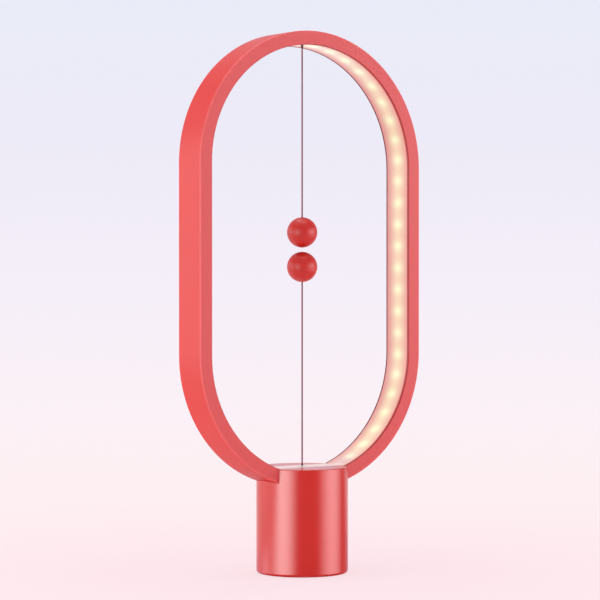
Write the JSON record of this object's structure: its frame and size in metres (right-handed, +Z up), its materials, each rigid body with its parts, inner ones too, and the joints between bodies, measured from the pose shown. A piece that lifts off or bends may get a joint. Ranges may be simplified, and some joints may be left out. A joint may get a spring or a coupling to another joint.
{
  "type": "magnetic balance lamp",
  "caption": "Table lamp: an upright stadium-shaped light frame in a round base, with magnetic balls on threads that hold each other in mid-air and work the switch.",
  "frame": {"origin": "centre of the round foot, on the surface that the lamp stands on", "axes": "+Z up, +X across the frame to the right as seen from the front, +Y through the frame to the rear, where the power inlet is"},
  "size_m": [0.1976, 0.068, 0.4005],
  "materials": {
    "red_plastic": "satin, moulded",
    "milky_plastic": "milky, translucent, lit from behind",
    "flexible_circuit": "white, flexible",
    "led_phosphor": "phosphor yellow",
    "wire_insulation": "soft",
    "screw_steel": "zinc plated",
    "foot_rubber": "matte",
    "ballast_iron": "cast",
    "circuit_board": "solder mask",
    "black_plastic": "moulded",
    "ferrite": "matte",
    "capacitor_can": "drawn",
    "resistor_ceramic": "matte",
    "socket_steel": "stamped",
    "contact_brass": "tinned",
    "white_plastic": "moulded",
    "rod_steel": "ground",
    "spring_steel": "drawn wire",
    "dark_metal": "dark plated",
    "thread": "braided",
    "magnet_nickel": "nickel plated"
  },
  "bodies": {
    "base": {"frame_channel": "red_plastic", "frame_front_cover": "red_plastic", "frame_diffuser": "milky_plastic", "led_strip": "flexible_circuit", "led_chips": "led_phosphor", "led_leads": "wire_insulation", "frame_screws": "screw_steel", "base_sleeve": "red_plastic", "base_top_plate": "red_plastic", "base_top_window": "milky_plastic", "bottom_cover": "red_plastic", "cover_screws": "screw_steel", "foot_pad": "foot_rubber", "ballast_weight": "ballast_iron", "ballast_screw": "screw_steel", "main_board": "circuit_board", "board_screws": "screw_steel", "driver_chip": "black_plastic", "power_inductor": "ferrite", "smoothing_capacitor": "capacitor_can", "chip_resistors": "resistor_ceramic", "usb_socket_shell": "socket_steel", "usb_socket_tongue": "black_plastic", "switch_case": "black_plastic", "switch_pins": "contact_brass", "slider_guide": "white_plastic", "return_spring": "spring_steel", "upper_eyelet": "dark_metal", "upper_thread_anchor": "thread", "lower_eyelet": "white_plastic"},
    "upper_swivel": {"upper_bead": "dark_metal"},
    "upper_ball": {"upper_cord": "thread", "upper_ball_thread_half": "red_plastic", "upper_ball_magnet_half": "red_plastic", "upper_ball_magnet": "magnet_nickel", "upper_ball_knot": "thread"},
    "pull_rod": {"pull_rod": "rod_steel", "rod_clip": "rod_steel"},
    "lower_swivel": {"lower_bead": "dark_metal"},
    "lower_ball": {"lower_cord": "thread", "lower_ball_thread_half": "red_plastic", "lower_ball_magnet_half": "red_plastic", "lower_ball_magnet": "magnet_nickel", "lower_ball_knot": "thread"},
    "switch_lever": {"switch_lever": "socket_steel"},
    "switch_button": {"switch_button": "white_plastic"}
  },
  "joints": [
    {"name": "upper_swing_side", "type": "hinge", "parent": "base", "child": "upper_swivel", "pos_m": [0, 0, 0.39], "axis": [0, 1, 0], "range_deg": [-33, 33]},
    {"name": "upper_swing_through", "type": "hinge", "parent": "upper_swivel", "child": "upper_ball", "pos_m": [0, 0, 0.39], "axis": [1, 0, 0], "range_deg": [-75, 75]},
    {"name": "switch_pull", "type": "slide", "parent": "base", "child": "pull_rod", "axis": [0, 0, 1], "range_m": [-0.002, 0], "stiffness_N_per_m": 300, "springref_m": 0.003, "deforming": ["return_spring"]},
    {"name": "lower_swing_side", "type": "hinge", "parent": "pull_rod", "child": "lower_swivel", "pos_m": [0, 0, 0.07993], "axis": [0, 1, 0], "range_deg": [-31, 31], "stiffness_Nm_per_rad": 0.08},
    {"name": "lower_swing_through", "type": "hinge", "parent": "lower_swivel", "child": "lower_ball", "pos_m": [0, 0, 0.07993], "axis": [1, 0, 0], "range_deg": [-60, 60], "stiffness_Nm_per_rad": 0.08},
    {"name": "lever_turn", "type": "hinge", "parent": "base", "child": "switch_lever", "pos_m": [0.0134, 0, 0.033], "axis": [0, 1, 0], "range_deg": [-8.6, 0]},
    {"name": "button_press", "type": "slide", "parent": "base", "child": "switch_button", "axis": [0, 0, 1], "range_m": [-0.0007, 0]}
  ],
  "couplings": [
    {"joint": "lever_turn", "follows": "switch_pull", "rad_per_m": 74.08},
    {"joint": "button_press", "follows": "switch_pull", "ratio": 0.32836}
  ]
}
